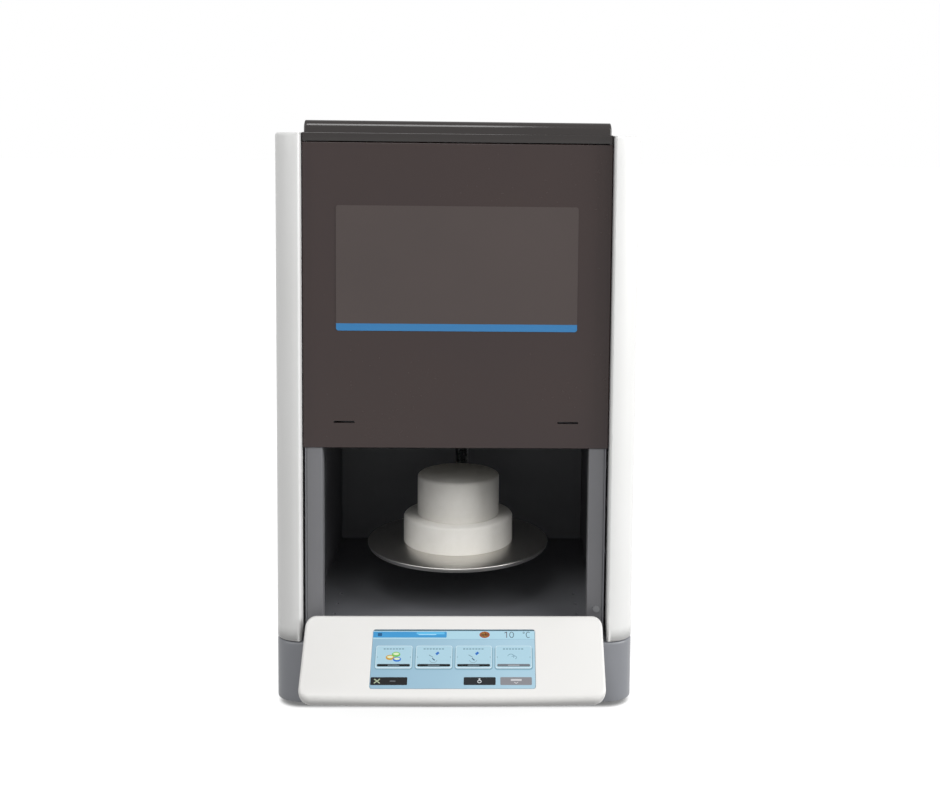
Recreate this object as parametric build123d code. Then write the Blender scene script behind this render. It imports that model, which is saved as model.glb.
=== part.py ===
from build123d import *
import math
import os

# Dental sintering furnace, bench-top, bottom loading.
# Millimetres. X to the right, Y from front to back, Z up.
# Y is counted from the face of the front panel while the pieces are drawn.
# save() then moves every piece by the same amount, so that the origin lies on the table top
# under the middle of the furnace, console included.

# ---- overall ----
width = 350.0
body_front = -10.5
body_back = 400.0
foot_height = 6.0
base_top = 66.0
side_top = 561.0
crown_h = 12.0
crown_top = side_top + crown_h
crown_step = 1.3
shadow_gap = 0.8
sheet = 1.5
skin = 2.5

# ---- plan of the housing ----
half = width / 2
corner_x = 26.0
corner_y = 22.0
lip_x = half - corner_x
lip_end = 16.0
rear_return = 15.0

# ---- chassis and open bay ----
bay_side = 30.0
bay_half = half - bay_side
bay_back = 290.4
bay_floor_top = 73.6
post_width = 15.3
post_depth = 14.0
post_face = 1.5
frame_top = side_top - 7.5
wall_slot_half = 7.5
wall_slot_low = 90.0
wall_slot_high = 258.0
floor_hole_x = bay_half - 21.1
floor_hole_y = (45.0, 73.5, 102.0)

# ---- front panel ----
panel_low = 256.9
panel_high = frame_top - 1.0
panel_half = lip_x - shadow_gap
panel_depth = 10.0
slot_x = panel_half - 39.8
slot_z = panel_low + 25.5
film_half = panel_half - 32.2
film_high = panel_high - 60.0
film_low = film_high - 120.7
film_thick = 0.5

# ---- operating console ----
console_half = half - 31.4
console_tilt = 46.6
console_edge_y = -16.0
console_edge_z = 94.3
console_slant = 83.0
console_lip = 8.6
console_lip_back = 6.0
console_corner = 8.0
console_low = 14.0
window_w = 155.6
window_h = 58.4
window_down = 12.8
module_thick = 7.0

# ---- table, hearth and heating chamber ----
hearth_y = 107.0
disc_top = 132.5
disc_r = 95.6
disc_thick = 2.5
disc_rim = 5.0
lower_r = 57.5
lower_h = 28.7
upper_r = 43.1
upper_h = 42.6
lift_travel = 128.0
shelf_low = 262.0
shelf_thick = 2.0
shelf_hole_r = 72.0
block_half_x = bay_half - 20.0
block_half_y = 88.0
hearth_gap = 1.0
floor_ring_h = 24.0
hot_zone_r = 62.0
hot_zone_h = 126.0
roof_h = 60.0
element_ring = 51.0
element_pitch = 25.0
element_r = 2.2
terminal_r = 4.5

# ---- lift ----
lift_y = body_back - 55.0
rod_x_pos = 45.0
rod_r = 6.0
screw_r = 6.0
bore_gap = 0.05
plate_low = 66.0
plate_thick = 6.0
lift_top = 304.0
carriage_low = 98.0
carriage_h = 46.0
carriage_half_y = 16.0
arm_half = 6.0
arm_top = disc_top - disc_thick - 6.0

# ---- rear: fan, inlet, switch ----
fan_size = 120.0
fan_depth = 25.0
fan_z = 430.0
fan_y = body_back - sheet - fan_depth
inlet_x = 23.0 - bay_half
switch_x = inlet_x + 44.0
socket_z = 42.0
rocker_tip = 8.0
rear_fittings = 7.0

# ---- where the origin lies ----
console_front = console_edge_y - console_slant * math.sin(math.radians(console_tilt))
middle_y = (console_front + body_back + rear_fittings) / 2

os.makedirs("parts", exist_ok=True)


def block(x0, x1, y0, y1, z0, z1):
    """A block between two opposite corners."""
    centre = Pos((x0 + x1) / 2, (y0 + y1) / 2, (z0 + z1) / 2)
    return centre * Box(x1 - x0, y1 - y0, z1 - z0)


def rod_up(x, y, z0, z1, r):
    """A round bar standing on z0."""
    return Pos(x, y, (z0 + z1) / 2) * Cylinder(r, z1 - z0)


def rod_back(x, z, y0, y1, r):
    """A round bar lying along Y."""
    return Pos(x, (y0 + y1) / 2, z) * Rot(90, 0, 0) * Cylinder(r, y1 - y0)


def rod_across(y, z, x0, x1, r):
    """A round bar lying along X."""
    return Pos((x0 + x1) / 2, y, z) * Rot(0, 90, 0) * Cylinder(r, x1 - x0)


def bar_up(x, y, z0, z1, r, sides=8):
    """A bar of that many flats standing on z0, r from its axis to its corners."""
    return extrude(Pos(x, y, z0) * RegularPolygon(r, sides), amount=z1 - z0)


def rounded_plan(x0, x1, y0, y1, z0, z1, r):
    """A slab with rounded corners in plan."""
    face = Pos((x0 + x1) / 2, (y0 + y1) / 2, z0) * RectangleRounded(x1 - x0, y1 - y0, r)
    return extrude(face, amount=z1 - z0, dir=(0, 0, 1))


def upright(x0, x1, z0, z1, y0, y1, r):
    """A plate standing in the XZ plane with rounded corners."""
    frame = Plane((0, y0, 0), x_dir=(1, 0, 0), z_dir=(0, 1, 0))
    outline = Pos((x0 + x1) / 2, -(z0 + z1) / 2) * RectangleRounded(x1 - x0, z1 - z0, r)
    return extrude(frame * outline, amount=y1 - y0, dir=(0, 1, 0))


def side_view(points, x0, x1):
    """A prism across the body from its outline in the YZ plane."""
    frame = Plane((x0, 0, 0), x_dir=(0, 1, 0), z_dir=(1, 0, 0))
    return extrude(frame * make_face(Polyline(*points, close=True)), amount=x1 - x0, dir=(1, 0, 0))


def folded(points, thickness, z0, z1, side=Side.LEFT, bend=1.0):
    """Sheet bent along a line of points in plan, standing from z0 to z1."""
    with BuildPart() as part:
        with BuildSketch(Plane.XY.offset(z0)):
            with BuildLine():
                FilletPolyline(*points, radius=bend)
                offset(amount=thickness, side=side)
            make_face()
        extrude(amount=z1 - z0)
    return part.part


def other_side(shape):
    """The left-hand twin of a right-hand piece."""
    return mirror(shape, about=Plane.YZ)


def whole(pieces):
    """Several loose solids as one node."""
    return Compound(children=list(pieces))


def save(name, shape):
    export_step(Pos(0, -middle_y, 0) * shape, f"parts/{name}.step")


# =====================================================================
# Base: rubber feet, folded tray and the moulded grey skirt round it
# =====================================================================

def quarter_plan(inset):
    """Right half of the housing in plan, its front corner a quarter ellipse, drawn in by inset."""
    centre = (lip_x, body_front + corner_y)
    corner = EllipticalCenterArc(centre, corner_x - inset, corner_y - inset, start_angle=270, arc_size=90)
    right = half - inset
    rear = body_back - inset
    front = body_front + inset
    rest = Polyline((right, body_front + corner_y), (right, rear), (0, rear), (0, front), (lip_x, front))
    return make_face([corner, rest])


def full_plan(inset):
    face = quarter_plan(inset)
    return face + mirror(face, about=Plane.YZ)


foot_x = half - 37.0
foot_positions = [(sx * foot_x, y) for sx in (-1, 1) for y in (22.0, body_back - 28.0)]
foot_flare = math.degrees(math.atan(3.0 / foot_height))
foot = extrude(RegularPolygon(12.0, 12), amount=foot_height, taper=-foot_flare)
save("feet", whole([Pos(x, y, 0) * foot for x, y in foot_positions]))

tray_inset = skin + 0.2
tray_rim = 16.0
tray = extrude(Pos(0, 0, foot_height) * full_plan(tray_inset), amount=sheet + tray_rim)
tray -= extrude(Pos(0, 0, foot_height + sheet) * full_plan(tray_inset + sheet), amount=tray_rim + 1)
tray -= block(rear_return - half, half - rear_return, body_back - 10, body_back, foot_height + sheet, base_top)
tray_vents = GridLocations(12, 60, 5, 2)
for place in tray_vents.locations:
    cut = Pos(place.position.X - 100, place.position.Y + 200, foot_height + sheet / 2)
    tray -= cut * Box(4, 34, 8)
save("base_tray", tray)
tray_top = foot_height + sheet

opening_half = bay_half + sheet + 0.5
skirt = extrude(Pos(0, 0, foot_height) * full_plan(0), amount=base_top - foot_height)
skirt = chamfer(skirt.faces().sort_by(Axis.Z)[-1].edges(), 1.0)
skirt -= extrude(Pos(0, 0, foot_height - 1) * full_plan(skin), amount=base_top - foot_height - skin + 1)
skirt -= block(-opening_half, opening_half, -4.0, body_back + 1, foot_height, base_top + 1)
skirt -= block(rear_return - half, half - rear_return, body_back - 20, body_back + 1, foot_height - 1, base_top + 1)
skirt -= block(-20, 20, body_front - 1, body_front + skin + 1, 40, 56)
save("base_skirt", skirt)

# =====================================================================
# Chassis: side frames, posts, bay sheets, shelf that carries the chamber
# =====================================================================

flange_x = half - rear_return - 2.0
frame_line = [(bay_half, post_face), (bay_half, body_back - 2 * sheet), (flange_x, body_back - 2 * sheet)]
frame = folded(frame_line, sheet, tray_top, frame_top, side=Side.RIGHT)
top_flange = block(bay_half - 20, bay_half + 0.5, panel_depth + 2, body_back - 20, frame_top - sheet, frame_top)
frame += top_flange
opening_long = 70.0
opening_low = 330.0
opening_high = 480.0
for y in (90.0, 190.0):
    frame -= block(bay_half - 1, bay_half + 3, y, y + opening_long, opening_low, opening_high)
save("frame_right", frame)
save("frame_left", other_side(frame))

post_in = bay_half - post_width
post_line = [
    (bay_half, post_face + post_depth),
    (bay_half, post_face),
    (post_in, post_face),
    (post_in, post_face + post_depth),
]
post = folded(post_line, sheet, bay_floor_top, panel_high - 2.5, side=Side.RIGHT)
plug_x = bay_half - 5.7
plug_z = bay_floor_top + 22.4
plug_hole_r = 2.5
facing_front = Rot(90, 0, 0)
post_right = post - Pos(plug_x, post_face + 3, plug_z) * facing_front * bar_up(0, 0, 0, 6, plug_hole_r)
save("post_right", post_right)
save("post_left", other_side(post))

plug = facing_front * (bar_up(0, 0, 0, 1.2, 3.6) + bar_up(0, 0, -sheet, 0.5, plug_hole_r - 0.1))
save("post_plug", Pos(plug_x, post_face, plug_z) * plug)

floor_front = -3.5
floor_sheet = block(-bay_half, bay_half, floor_front, bay_back + sheet, bay_floor_top - sheet, bay_floor_top)
floor_sheet += block(-bay_half, bay_half, floor_front, floor_front + sheet, tray_top, bay_floor_top)
for sx in (-1, 1):
    side_x = sx * (bay_half - sheet / 2)
    apron = Pos(side_x, (bay_back + post_face) / 2, bay_floor_top - 8)
    floor_sheet += apron * Box(sheet, bay_back - post_face, 16)
    for y in floor_hole_y:
        floor_sheet -= bar_up(sx * floor_hole_x, y, bay_floor_top - 5, bay_floor_top + 1, 2.0)
front_corner = floor_sheet.edges().filter_by(Axis.X).group_by(Axis.Z)[-1].sort_by(Axis.Y)[0]
floor_sheet = fillet(front_corner, 1.2)
save("bay_floor", floor_sheet)

wall_line = [
    (-bay_half, bay_back + 14),
    (-bay_half, bay_back),
    (bay_half, bay_back),
    (bay_half, bay_back + 14),
]
back_wall = folded(wall_line, sheet, bay_floor_top, shelf_low, side=Side.LEFT)
back_wall -= block(-wall_slot_half, wall_slot_half, bay_back - 1, bay_back + 3, wall_slot_low, wall_slot_high)
save("bay_back_wall", back_wall)

shelf_front = post_face + post_depth + 1.0
shelf_top = shelf_low + shelf_thick
shelf = block(-bay_half, bay_half, shelf_front, bay_back + sheet, shelf_low, shelf_top)
for sx in (-1, 1):
    rib_x = sx * (bay_half - sheet / 2)
    shelf += Pos(rib_x, (shelf_front + bay_back) / 2, shelf_top + 7) * Box(sheet, bay_back - shelf_front, 14)
shelf -= bar_up(0, hearth_y, shelf_low - 1, shelf_top + 1, shelf_hole_r, 36)
save("chamber_shelf", shelf)

# =====================================================================
# Outer panels: extruded sides, front panel with its film, crown, back
# =====================================================================

side_low = base_top + shadow_gap
side = extrude(Pos(0, 0, side_low) * quarter_plan(0), amount=side_top - side_low)
side -= block(-1, lip_x, body_front - 1, body_back + 1, side_low - 1, side_top + 1)
outer_edges = side.faces().sort_by(Axis.Z)[-1].edges().filter_by(lambda e: e.center().X > lip_x + 2)
side = chamfer(outer_edges, 2.4)
hollow = extrude(Pos(0, 0, side_low - 1) * quarter_plan(skin), amount=side_top - side_low - skin + 1)
hollow -= block(-1, lip_x + skin, body_front - 1, lip_end, side_low - 2, side_top + 1)
side -= hollow
side -= block(-1, half - rear_return, body_back - 10, body_back + 1, side_low - 1, side_top - skin)
lip_edge = side.edges().filter_by(Axis.Z).sort_by(lambda e: e.center().X + e.center().Y)[0]
side = fillet(lip_edge, 2.0)
web_foot = bay_half + sheet
web_top = frame_top - 1.0
for y in (70.0, 330.0):
    side += block(web_foot, half - 1, y - 1.0, y + 1.0, side_low, web_top)
    side += block(web_foot, web_foot + 2.0, y - 9.0, y + 9.0, side_low, web_top)
save("side_panel_right", side)
save("side_panel_left", other_side(side))

panel = block(-panel_half, panel_half, 0, panel_depth, panel_low, panel_high)
panel = fillet(panel.faces().sort_by(Axis.Y)[0].edges(), 1.0)
panel -= block(
    -panel_half + sheet, panel_half - sheet, sheet, panel_depth + 1, panel_low + sheet, panel_high - sheet)
notch_in = post_in - 0.8
for sx in (-1, 1):
    notch_out = panel_half - sheet
    low_notch = block(notch_in, notch_out, post_face, panel_depth + 1, panel_low - 1, panel_low + 3)
    top_notch = block(bay_half - 0.5, notch_out, post_face, panel_depth + 1, panel_high - 3, panel_high + 1)
    for notch in (low_notch, top_notch):
        panel -= notch if sx > 0 else other_side(notch)
    panel -= block(sx * slot_x - 10, sx * slot_x + 10, -1, 4, slot_z - 1, slot_z + 1)
save("front_panel", panel)

film = upright(-film_half, film_half, film_low, film_high, -film_thick, 0, 2.5)
save("front_film", film)

cover_front = -1.0
cover_low = frame_top
crown_low = side_top + 0.5


def crown_block(draw_in, low, high):
    x = panel_half - draw_in
    return block(-x, x, cover_front + draw_in, body_back - draw_in, low, high)


cover = crown_block(0, cover_low, crown_low)
band_rim = cover.faces().sort_by(Axis.Z)[-1].edges().sort_by(Axis.Y)[:3]
cover = chamfer(band_rim, 0.6)
crown = crown_block(crown_step, crown_low, crown_top)
crown_rim = crown.faces().sort_by(Axis.Z)[-1].edges()
crown = fillet(crown_rim.filter_by(Axis.X).sort_by(Axis.Y)[0], 4.5)
crown_sides = crown.faces().sort_by(Axis.Z)[-1].edges().filter_by(Axis.Y)
crown = chamfer(crown_sides, 1.4)
cover += crown
cover -= crown_block(skin, cover_low - 1, crown_low - 1)
cover -= crown_block(skin + crown_step, cover_low, crown_top - skin)
for place in GridLocations(20, 0, 9, 1).locations:
    cover -= Pos(place.position.X, body_back - 90, crown_top) * Box(5, 70, 12)
save("top_cover", cover)

back_half = half - rear_return - 1.0
back_low = foot_height + 1.0
back_high = cover_low
back_y = body_back - sheet
back = block(-back_half, back_half, back_y, body_back, back_low, back_high)
grille_r = fan_size / 2 - 6
for i in range(-4, 5):
    reach = math.sqrt(grille_r**2 - (12.0 * i) ** 2)
    back -= block(12.0 * i - 3.5, 12.0 * i + 3.5, back_y - 1, body_back + 1, fan_z - reach, fan_z + reach)
back -= block(inlet_x - 16.5, inlet_x + 16.5, back_y - 1, body_back + 1, socket_z - 13, socket_z + 13)
back -= block(switch_x - 11, switch_x + 11, back_y - 1, body_back + 1, socket_z - 15, socket_z + 15)
vent_rows = [(z, x) for z in range(110, 225, 16) for x in (-105.0, 105.0)]
for z, x in vent_rows:
    back -= block(x - 30, x + 30, back_y - 1, body_back + 1, z - 2, z + 2)
save("back_panel", back)

screw_rows = (back_low + 7.0, 190.0, 365.0, back_high - 13.5)
screw_places = [(sx * (back_half - 5), z) for sx in (-1, 1) for z in screw_rows]
head = Rot(-90, 0, 0) * bar_up(0, 0, 0, 3.0, 4.5, 6)
save("panel_screws", whole([Pos(x, body_back, z) * head for x, z in screw_places]))

# =====================================================================
# Operating console: moulded wedge with a sloping face and a touch screen
# =====================================================================

tilt = math.radians(console_tilt)
face_dir = (-math.sin(tilt), -math.cos(tilt))
in_dir = (math.cos(tilt), -math.sin(tilt))


def on_face(down, depth):
    """Point of the YZ plane that far down the sloping face and that deep below it."""
    y = console_edge_y + face_dir[0] * down + in_dir[0] * depth
    z = console_edge_z + face_dir[1] * down + in_dir[1] * depth
    return y, z


def face_frame(down, depth):
    """Plane parallel to the sloping face, X across, looking out of the face."""
    y, z = on_face(down, depth)
    return Plane((0, y, z), x_dir=(1, 0, 0), z_dir=(0, -in_dir[0], -in_dir[1]))


def wedge(inset, rear):
    """The console's outline in side view, drawn in by inset, as a prism, with its end edges."""
    top = console_edge_z - inset
    y_top = on_face(inset / math.cos(tilt) * (1 - math.sin(tilt)), inset)[0]
    front_y, front_z = on_face(console_slant, 0)
    front_y += inset
    down_front = (front_y - on_face(0, inset)[0]) / face_dir[0]
    z_front = on_face(down_front, inset)[1]
    low_front = front_z - console_lip + inset
    low_rear = console_low + inset
    low_y = front_y + console_lip_back
    points = [(y_top, top), (rear, top), (rear, low_rear), (low_y, low_front), (front_y, z_front)]
    half_x = console_half - inset
    prism = side_view(points, -half_x, half_x)
    corners = prism.edges().filter_by(lambda e: abs(e.center().X) > half_x - 0.1)
    return prism, corners


body, ends = wedge(0, body_front)
top_ends = ends.filter_by(Axis.Y).filter_by(lambda e: e.center().Z > 90)
lip_ends = ends.filter_by(lambda e: e.center().Y < -70 and e.center().Z < 40)
body = fillet(top_ends + lip_ends, console_corner)
sloping = body.faces().filter_by(lambda f: f.normal_at().Y < -0.6 and f.normal_at().Z > 0.6)
slope = sloping.sort_by(SortBy.AREA)[-1]
body = fillet(slope.edges(), 2.2)
body -= wedge(skin, body_front + 5)[0]
window_mid = window_down + window_h / 2
window = face_frame(window_mid, skin + 1) * RectangleRounded(window_w, window_h, 2.5)
body -= extrude(window, amount=skin + 6)
save("console_housing", body)

glass_gap = 0.2
glass_sink = 0.3
glass_outline = RectangleRounded(window_w - 2 * glass_gap, window_h - 2 * glass_gap, 2.3)
glass = face_frame(window_mid, skin) * glass_outline
save("screen_glass", extrude(glass, amount=skin - glass_sink))

module = face_frame(window_mid, skin + module_thick) * Rectangle(window_w + 10, window_h + 7)
module = extrude(module, amount=module_thick)
for sx in (-1, 1):
    for sy in (-1, 1):
        spacer = face_frame(window_mid, skin + module_thick) * Pos(sx * 50, sy * 18) * RegularPolygon(3.2, 6)
        module += extrude(spacer, amount=-6)
save("display_module", module)

board_thick = 1.6
board_depth = skin + module_thick + 6 + board_thick
console_board = extrude(face_frame(window_mid, board_depth) * Rectangle(124, 46), amount=board_thick)
for x, y, w, h, t in ((-35, 4, 16, 16, 2), (10, -8, 24, 10, 3), (44, 6, 12, 20, 5), (-5, 14, 30, 5, 4)):
    chip = face_frame(window_mid, board_depth) * Pos(x, y) * Rectangle(w, h)
    console_board += extrude(chip, amount=-t)
save("console_board", console_board)

plate_half = console_half - skin - 0.2
plate_low_z = console_low + skin + 2.4
plate_high_z = console_edge_z - skin - 0.2
plate = block(-plate_half, plate_half, body_front - sheet, body_front, plate_low_z, plate_high_z)
plate = chamfer(plate.edges().filter_by(Axis.Y).group_by(Axis.Z)[-1], 3.0)
plate -= block(-20, 20, body_front - 3, body_front + 1, 40, 56)
save("console_back_plate", plate)

# =====================================================================
# Heating chamber: fibre blocks in a steel shell, U-shaped elements
# =====================================================================

ring_top = shelf_top + floor_ring_h
wall_top = ring_top + hot_zone_h
roof_top = wall_top + roof_h


def fibre(z0, z1):
    return block(-block_half_x, block_half_x, hearth_y - block_half_y, hearth_y + block_half_y, z0, z1)


ring_hole_r = (lower_r + hearth_gap) / math.cos(math.pi / 36)
hearth_hole = bar_up(0, hearth_y, shelf_top - 1, ring_top + 1, ring_hole_r, 36)
hot_zone = bar_up(0, hearth_y, ring_top - 1, wall_top + 1, hot_zone_r, 36)
save("insulation_floor", fibre(shelf_top, ring_top) - hearth_hole)
save("insulation_wall", fibre(ring_top, wall_top) - hot_zone)

terminal_places = []
for k in range(4):
    turn = math.radians(90 * k)
    for s in (-1, 1):
        along = s * element_pitch / 2
        tx = element_ring * math.cos(turn) - along * math.sin(turn)
        ty = element_ring * math.sin(turn) + along * math.cos(turn)
        terminal_places.append((tx, hearth_y + ty))

roof = fibre(wall_top, roof_top)
for x, y in terminal_places:
    roof -= bar_up(x, y, wall_top - 1, roof_top + 1, terminal_r + 1.0)
roof -= bar_up(0, hearth_y, wall_top - 1, roof_top + 1, 4.5)
save("insulation_roof", roof)

shell_gap = 0.2
shell_sheet = 1.0
fibre_box = (block_half_x + shell_gap, block_half_y + shell_gap)


def shell_block(grow, z0, z1):
    x, y = fibre_box[0] + grow, fibre_box[1] + grow
    return block(-x, x, hearth_y - y, hearth_y + y, z0, z1)


shell = shell_block(shell_sheet, shelf_top, roof_top + shell_sheet)
shell -= shell_block(0, shelf_top - 1, roof_top)
shell -= shell_block(-12, roof_top - 1, roof_top + 2)
save("chamber_shell", shell)

bend_r = element_pitch / 2
bend_z = ring_top + 18 + bend_r
hot_top = wall_top - 8
terminal_top = roof_top + 46
bend_cut = math.tan(math.radians(22.5))
bend_low = bend_z - bend_r
bend_points = [
    (-bend_r, 0, hot_top), (-bend_r, 0, bend_z - bend_r * bend_cut), (-bend_r * bend_cut, 0, bend_low),
    (bend_r * bend_cut, 0, bend_low), (bend_r, 0, bend_z - bend_r * bend_cut), (bend_r, 0, hot_top),
]
run_section = Pos(-bend_r, 0, hot_top) * RegularPolygon(element_r, 8)
element = sweep(run_section, path=Polyline(*bend_points), transition=Transition.RIGHT)
neck_h = 8.0
for s in (-1, 1):
    element += bar_up(s * bend_r, 0, hot_top, hot_top + neck_h, (element_r + terminal_r) / 2)
    element += bar_up(s * bend_r, 0, hot_top + neck_h, terminal_top, terminal_r)
elements = []
holders = []
holder_h = 12.0
holder = block(-25, 25, -11, 11, roof_top, roof_top + holder_h)
for s in (-1, 1):
    holder -= bar_up(s * bend_r, 0, roof_top - 1, roof_top + holder_h + 1, terminal_r + 0.1)
for k in range(4):
    swing = Pos(0, hearth_y, 0) * Rot(0, 0, 90 * k) * Pos(element_ring, 0, 0) * Rot(0, 0, 90)
    elements.append(swing * element)
    holders.append(swing * holder)
save("heating_elements", whole(elements))
save("element_holders", whole(holders))

strap_z = roof_top + 26
strap_thick = 4.0
straps = []
reach = element_ring - bend_r
strap_mid = (element_ring + bend_r) / 2
bar_length = reach * math.sqrt(2) + 18
for k in range(3):
    bar = Pos(strap_mid, strap_mid, 0) * Rot(0, 0, 135) * Rectangle(bar_length, 16)
    for x, y in ((element_ring, bend_r), (bend_r, element_ring)):
        bar -= Pos(x, y) * RegularPolygon(terminal_r + 0.1, 8)
    straps.append(Pos(0, hearth_y, strap_z) * Rot(0, 0, 90 * k) * extrude(bar, amount=strap_thick))
for x, y, turn in ((element_ring, -bend_r, 0), (bend_r, -element_ring, -90)):
    lug = Rot(0, 0, turn) * Pos(11, 0) * Rectangle(40, 16)
    lug = Pos(x, y) * lug - Pos(x, y) * RegularPolygon(terminal_r + 0.1, 8)
    straps.append(Pos(0, hearth_y, strap_z) * extrude(lug, amount=strap_thick))
save("element_straps", whole(straps))

probe = bar_up(0, hearth_y, hot_top - 10, roof_top + 22, 3.2)
probe += bar_up(0, hearth_y, roof_top, roof_top + 5, 13.0, 6)
probe += bar_up(0, hearth_y, roof_top + 22, roof_top + 38, 12.0, 6)
save("thermocouple", probe)

# =====================================================================
# Power and control: toroidal transformer, module on its heat sink, boards
# =====================================================================

core_y = 150.0
core_r = 82.0
core_hole = 28.0
core_h = 48.0
pad_h = 3.0
pad_half = 60.0
core_low = tray_top + pad_h
core = bar_up(0, core_y, core_low, core_low + core_h, core_r, 20)
core_top = core_low + core_h
core = chamfer(core.edges().group_by(Axis.Z)[-1], 8.0)
core -= bar_up(0, core_y, core_low - 1, core_top + 1, core_hole, 12)
save("transformer", core)
pad = block(-pad_half, pad_half, core_y - pad_half, core_y + pad_half, tray_top, core_low)
washer = bar_up(0, core_y, core_top, core_top + 2, 50.0, 12)
bolt = bar_up(0, core_y, core_low, core_top + 2, 4.0, 6) + bar_up(0, core_y, core_top + 2, core_top + 7, 7.5, 6)
save("transformer_pad", pad)
save("transformer_bolt", washer + bolt)

sink_x = (-135.0, -75.0)
sink_z = (250.0, 340.0)
fin_back = back_y
sink_plate = fin_back - 28.0
sink = block(sink_x[0], sink_x[1], sink_plate, sink_plate + 5, sink_z[0], sink_z[1])
fin_count = 8
for i in range(fin_count):
    x = sink_x[0] + 1 + i * (sink_x[1] - sink_x[0] - 2) / (fin_count - 1)
    sink += block(x - 1, x + 1, sink_plate + 4, fin_back, sink_z[0], sink_z[1])
save("heat_sink", sink)
module_x = sum(sink_x) / 2
module_z = sum(sink_z) / 2
power = block(module_x - 22, module_x + 22, sink_plate - 24, sink_plate, module_z - 29, module_z + 29)
for sx in (-1, 1):
    for sz in (-1, 1):
        x, z = module_x + sx * 12, module_z + sz * 20
        power += block(x - 4, x + 4, sink_plate - 28, sink_plate - 24, z - 4, z + 4)
save("power_module", power)

pcb_mid_y = body_back - 55.0
pcb_mid_z = 335.0
pcb_half_y = 43.0
pcb_half_z = 65.0
standoff = 10.0
pcb_x = bay_half - standoff
board_face_x = pcb_x - board_thick
capacitor_h = 20.0


def on_board(y, z, half_y, half_z, height):
    """A block standing on the control board, its place counted from the board's middle."""
    y, z = pcb_mid_y + y, pcb_mid_z + z
    return block(board_face_x - height, board_face_x, y - half_y, y + half_y, z - half_z, z + half_z)


pcb = block(
    board_face_x, pcb_x, pcb_mid_y - pcb_half_y, pcb_mid_y + pcb_half_y,
    pcb_mid_z - pcb_half_z, pcb_mid_z + pcb_half_z)
for y in (-27, 0):
    pcb += on_board(y, -35, 9, 12, 16)
pcb += on_board(27, -39, 10, 15, 22)
pcb += on_board(-15, 10, 11, 11, 3)
pcb += on_board(0, pcb_half_z - 10, pcb_half_y - 8, 6, 12)
for y in (15, 29):
    place = Pos(board_face_x - capacitor_h, pcb_mid_y + y, pcb_mid_z + 10)
    pcb += place * Rot(0, 90, 0) * bar_up(0, 0, 0, capacitor_h, 6)
save("control_board", pcb)
standoffs = []
for sy in (-1, 1):
    for sz in (-1, 1):
        place = Pos(pcb_x, pcb_mid_y + sy * (pcb_half_y - 6), pcb_mid_z + sz * (pcb_half_z - 6))
        standoffs.append(place * Rot(0, 90, 0) * bar_up(0, 0, 0, standoff, 3.2, 6))
save("board_standoffs", whole(standoffs))

# Mains inlet: a recessed socket with three flat pins, held by a flange on the back panel's face
inlet = block(inlet_x - 30, inlet_x + 30, body_back, body_back + 3, socket_z - 15.5, socket_z + 15.5)
inlet = chamfer(inlet.edges().filter_by(Axis.Y), 3.0)
inlet += block(inlet_x - 16.2, inlet_x + 16.2, body_back - 27, body_back + 1, socket_z - 12.7, socket_z + 12.7)
inlet -= block(inlet_x - 13.5, inlet_x + 13.5, body_back - 19, body_back + 4, socket_z - 10, socket_z + 10)
pin_places = [(inlet_x - 7, socket_z - 3), (inlet_x + 7, socket_z - 3), (inlet_x, socket_z + 4)]
for x, z in pin_places:
    inlet += block(x - 1.0, x + 1.0, body_back - 20, body_back - 3, z - 3, z + 3)
for s in (-1, 1):
    screw_x = inlet_x + s * 24
    inlet += block(screw_x - 3, screw_x + 3, body_back + 3, body_back + 4.5, socket_z - 3, socket_z + 3)
save("mains_inlet", inlet)

# Power switch: bezel, body and a rocker on a cross pin
rocker_w = 17.0
rocker_h = 25.0
pivot_y = body_back - 3.0
switch_half_x = 10.8
switch_half_z = 14.8
switch_depth = 24.0
bezel = block(switch_x - 13, switch_x + 13, body_back, body_back + 2.5, socket_z - 17, socket_z + 17)
bezel = chamfer(bezel.edges().filter_by(Axis.Y), 1.5)
bezel += block(
    switch_x - switch_half_x, switch_x + switch_half_x, body_back - switch_depth, body_back + 1,
    socket_z - switch_half_z, socket_z + switch_half_z)
well_x = rocker_w / 2 + 0.4
well_z = rocker_h / 2 + 1.2
bezel -= block(
    switch_x - well_x, switch_x + well_x, body_back - 11, body_back + 4, socket_z - well_z, socket_z + well_z)
bezel += rod_across(pivot_y, socket_z, switch_x - well_x - 1, switch_x + well_x + 1, 1.5)
save("switch_housing", bezel)
rocker_points = [
    (-4, 0), (2.0, rocker_h / 2 - 0.6), (8.6, rocker_h / 2 - 0.4), (6.4, 0),
    (8.6, 0.4 - rocker_h / 2), (2.0, 0.6 - rocker_h / 2),
]
rocker = side_view(rocker_points, -rocker_w / 2, rocker_w / 2) - rod_across(0, 0, -20, 20, 1.5 + bore_gap)
save("switch_rocker", Pos(switch_x, pivot_y, socket_z) * Rot(-rocker_tip, 0, 0) * rocker)

# Cooling fan: square frame and a bladed rotor on a pin, behind the slots punched in the back panel
fan_in = fan_size / 2 - 3
fan_frame = block(-fan_size / 2, fan_size / 2, fan_y, back_y, fan_z - fan_size / 2, fan_z + fan_size / 2)
facing_back = Rot(-90, 0, 0)
duct = bar_up(0, 0, -1, fan_depth + 1, fan_in, 28)
hub_r = 21.0
hub = bar_up(0, 0, 0, 4, hub_r, 14)
fan_frame -= Pos(0, fan_y, fan_z) * facing_back * duct
fan_frame += Pos(0, fan_y, fan_z) * facing_back * hub
for k in range(4):
    arm = block(hub_r - 2, fan_in + 1, fan_y, fan_y + 4, -3, 3)
    fan_frame += Pos(0, 0, fan_z) * Rot(0, 90 * k + 45, 0) * arm
pin_r = 2.5
fan_frame += rod_back(0, fan_z, fan_y + 3, fan_y + 16, pin_r)
save("fan_frame", fan_frame)

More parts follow.
